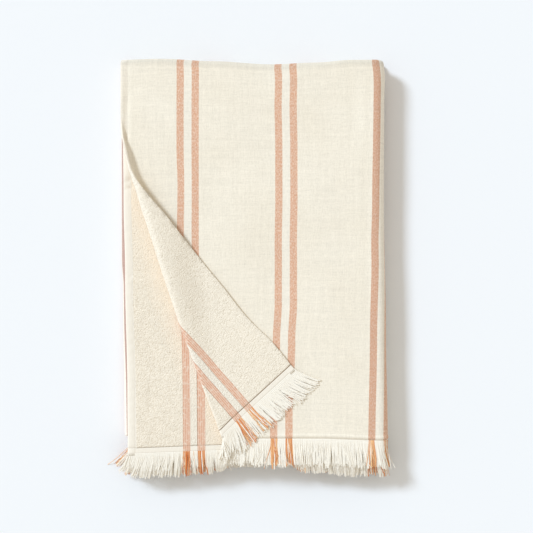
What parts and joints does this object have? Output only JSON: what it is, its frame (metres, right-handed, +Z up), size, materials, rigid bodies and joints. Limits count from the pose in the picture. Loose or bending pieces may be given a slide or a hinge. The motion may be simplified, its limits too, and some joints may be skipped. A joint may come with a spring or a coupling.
{
  "type": "folded hammam towel",
  "caption": "Striped cotton bath towel with fringed ends, folded flat for a shelf, one corner of the top layer turned back.",
  "frame": {"origin": "middle of the bounding box's underside, on the surface the towel rests on", "axes": "+X to the right of the folded towel, +Y from the fringes to the folded end, +Z up"},
  "size_m": [0.3287, 0.5153, 0.0476],
  "materials": {
    "cloth": "cream cotton with pairs of salmon stripes, plain woven on one side and looped on the other",
    "fringe": "loose cream cotton yarns, orange where the stripes end"
  },
  "bodies": {
    "root": {"towel": "cloth", "fringe_upper": "fringe", "fringe_lower": "fringe"}
  },
  "joints": []
}
